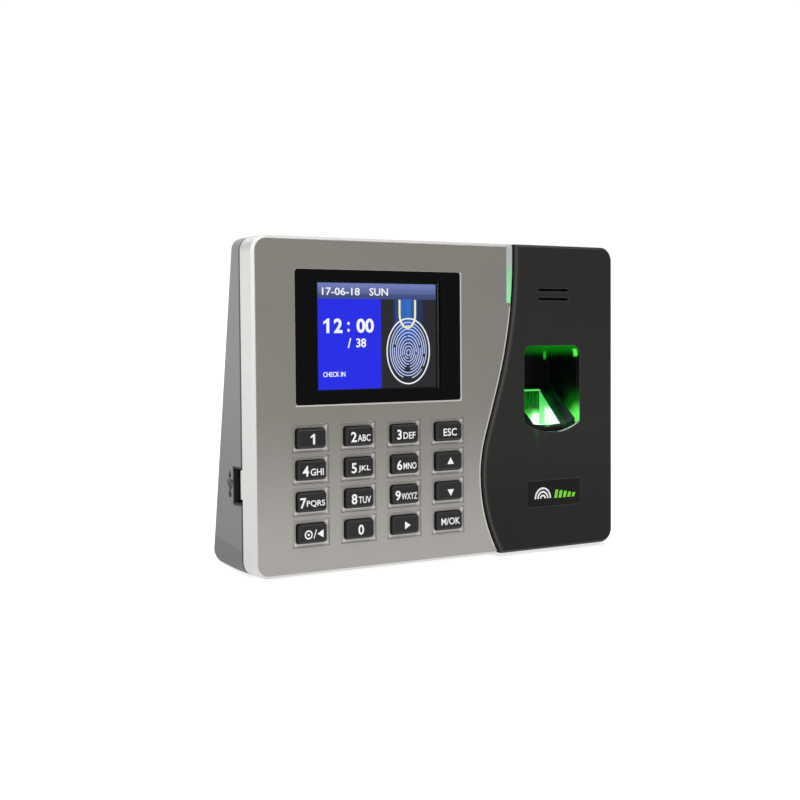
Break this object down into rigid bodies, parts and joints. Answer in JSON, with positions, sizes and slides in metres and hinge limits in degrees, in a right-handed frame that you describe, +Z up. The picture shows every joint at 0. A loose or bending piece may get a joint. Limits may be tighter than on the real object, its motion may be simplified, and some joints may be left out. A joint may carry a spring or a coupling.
{
  "type": "fingerprint scanner terminal",
  "caption": "Wedge-shaped fingerprint terminal for a wall or desk, with a leaning brushed face, lit display, press keys, a green-lit finger well and a rear connector bay.",
  "frame": {"origin": "middle of the footprint in X and Y, at the plane of the underside", "axes": "+X right seen from the front, +Y towards the wall, +Z up; the front faces -Y and leans back 9 degrees"},
  "size_m": [0.185, 0.0404, 0.1353],
  "materials": {
    "silver_plastic": "satin silver paint",
    "face_metal": "brushed warm grey metal",
    "black_plastic": "fine textured black",
    "light_pipe": "milky translucent, lit green",
    "window_black": "black bordered clear acrylic",
    "badge": "gloss black inlay",
    "lcd_glass": "lit display panel",
    "tinned_steel": "tinned",
    "white_plastic": "moulded white",
    "silicone": "matte silicone",
    "key_plastic": "soft satin black",
    "green_board": "solder mask green",
    "blue_board": "solder mask blue",
    "chip_black": "moulded resin",
    "led_green": "lit green",
    "well_black": "smooth black",
    "prism_glass": "polished, lit green",
    "speaker_metal": "plated",
    "speaker_paper": "pressed paper",
    "shell_grey": "fine spark texture grey",
    "gasket_rubber": "matte",
    "bracket_steel": "zinc plated",
    "jack_black": "moulded black",
    "contact_metal": "nickel plated",
    "terminal_green": "moulded green",
    "ribbon_amber": "polyimide film",
    "ribbon_white": "flat cable",
    "screw_steel": "zinc plated"
  },
  "bodies": {
    "case": {"front_bezel": "silver_plastic", "face_plate": "face_metal", "scanner_panel": "black_plastic", "light_pipe": "light_pipe", "window_lens": "window_black", "badge_inlay": "badge", "lcd_panel": "lcd_glass", "lcd_frame": "tinned_steel", "lcd_backlight": "white_plastic", "keypad_mat": "silicone", "keypad_board": "green_board", "main_board": "blue_board", "main_chips": "chip_black", "coin_cell": "tinned_steel", "usb_shell": "tinned_steel", "usb_tongue": "white_plastic", "status_leds": "led_green", "finger_well": "well_black", "sensor_prism": "prism_glass", "sensor_housing": "well_black", "led_board": "green_board", "sensor_leds": "led_green", "sensor_lens": "well_black", "image_board": "green_board", "speaker": "speaker_metal", "speaker_cone": "speaker_paper", "back_shell": "shell_grey", "seam_gasket": "gasket_rubber", "wall_bracket": "bracket_steel", "io_board": "blue_board", "network_socket": "tinned_steel", "power_jack": "jack_black", "power_pin": "contact_metal", "wire_terminals": "terminal_green", "lcd_ribbon": "ribbon_amber", "keypad_ribbon": "ribbon_white", "sensor_ribbon": "ribbon_white", "io_ribbon": "ribbon_white", "case_screws": "screw_steel", "board_screws": "screw_steel", "keypad_screws": "screw_steel", "sensor_screws": "screw_steel", "lock_screw": "screw_steel"},
    "key_1_cap": {"key_1": "key_plastic"},
    "key_2_cap": {"key_2": "key_plastic"},
    "key_3_cap": {"key_3": "key_plastic"},
    "key_esc_cap": {"key_esc": "key_plastic"},
    "key_4_cap": {"key_4": "key_plastic"},
    "key_5_cap": {"key_5": "key_plastic"},
    "key_6_cap": {"key_6": "key_plastic"},
    "key_up_cap": {"key_up": "key_plastic"},
    "key_7_cap": {"key_7": "key_plastic"},
    "key_8_cap": {"key_8": "key_plastic"},
    "key_9_cap": {"key_9": "key_plastic"},
    "key_down_cap": {"key_down": "key_plastic"},
    "key_power_cap": {"key_power": "key_plastic"},
    "key_0_cap": {"key_0": "key_plastic"},
    "key_right_cap": {"key_right": "key_plastic"},
    "key_ok_cap": {"key_ok": "key_plastic"}
  },
  "joints": [
    {"name": "key_1_press", "type": "slide", "parent": "case", "child": "key_1_cap", "axis": [0, 0.9877, -0.1564], "range_m": [0, 0.0008], "stiffness_N_per_m": 1200, "deforming": ["keypad_mat"]},
    {"name": "key_2_press", "type": "slide", "parent": "case", "child": "key_2_cap", "axis": [0, 0.9877, -0.1564], "range_m": [0, 0.0008], "stiffness_N_per_m": 1200, "deforming": ["keypad_mat"]},
    {"name": "key_3_press", "type": "slide", "parent": "case", "child": "key_3_cap", "axis": [0, 0.9877, -0.1564], "range_m": [0, 0.0008], "stiffness_N_per_m": 1200, "deforming": ["keypad_mat"]},
    {"name": "key_esc_press", "type": "slide", "parent": "case", "child": "key_esc_cap", "axis": [0, 0.9877, -0.1564], "range_m": [0, 0.0008], "stiffness_N_per_m": 1200, "deforming": ["keypad_mat"]},
    {"name": "key_4_press", "type": "slide", "parent": "case", "child": "key_4_cap", "axis": [0, 0.9877, -0.1564], "range_m": [0, 0.0008], "stiffness_N_per_m": 1200, "deforming": ["keypad_mat"]},
    {"name": "key_5_press", "type": "slide", "parent": "case", "child": "key_5_cap", "axis": [0, 0.9877, -0.1564], "range_m": [0, 0.0008], "stiffness_N_per_m": 1200, "deforming": ["keypad_mat"]},
    {"name": "key_6_press", "type": "slide", "parent": "case", "child": "key_6_cap", "axis": [0, 0.9877, -0.1564], "range_m": [0, 0.0008], "stiffness_N_per_m": 1200, "deforming": ["keypad_mat"]},
    {"name": "key_up_press", "type": "slide", "parent": "case", "child": "key_up_cap", "axis": [0, 0.9877, -0.1564], "range_m": [0, 0.0008], "stiffness_N_per_m": 1200, "deforming": ["keypad_mat"]},
    {"name": "key_7_press", "type": "slide", "parent": "case", "child": "key_7_cap", "axis": [0, 0.9877, -0.1564], "range_m": [0, 0.0008], "stiffness_N_per_m": 1200, "deforming": ["keypad_mat"]},
    {"name": "key_8_press", "type": "slide", "parent": "case", "child": "key_8_cap", "axis": [0, 0.9877, -0.1564], "range_m": [0, 0.0008], "stiffness_N_per_m": 1200, "deforming": ["keypad_mat"]},
    {"name": "key_9_press", "type": "slide", "parent": "case", "child": "key_9_cap", "axis": [0, 0.9877, -0.1564], "range_m": [0, 0.0008], "stiffness_N_per_m": 1200, "deforming": ["keypad_mat"]},
    {"name": "key_down_press", "type": "slide", "parent": "case", "child": "key_down_cap", "axis": [0, 0.9877, -0.1564], "range_m": [0, 0.0008], "stiffness_N_per_m": 1200, "deforming": ["keypad_mat"]},
    {"name": "key_power_press", "type": "slide", "parent": "case", "child": "key_power_cap", "axis": [0, 0.9877, -0.1564], "range_m": [0, 0.0008], "stiffness_N_per_m": 1200, "deforming": ["keypad_mat"]},
    {"name": "key_0_press", "type": "slide", "parent": "case", "child": "key_0_cap", "axis": [0, 0.9877, -0.1564], "range_m": [0, 0.0008], "stiffness_N_per_m": 1200, "deforming": ["keypad_mat"]},
    {"name": "key_right_press", "type": "slide", "parent": "case", "child": "key_right_cap", "axis": [0, 0.9877, -0.1564], "range_m": [0, 0.0008], "stiffness_N_per_m": 1200, "deforming": ["keypad_mat"]},
    {"name": "key_ok_press", "type": "slide", "parent": "case", "child": "key_ok_cap", "axis": [0, 0.9877, -0.1564], "range_m": [0, 0.0008], "stiffness_N_per_m": 1200, "deforming": ["keypad_mat"]}
  ]
}
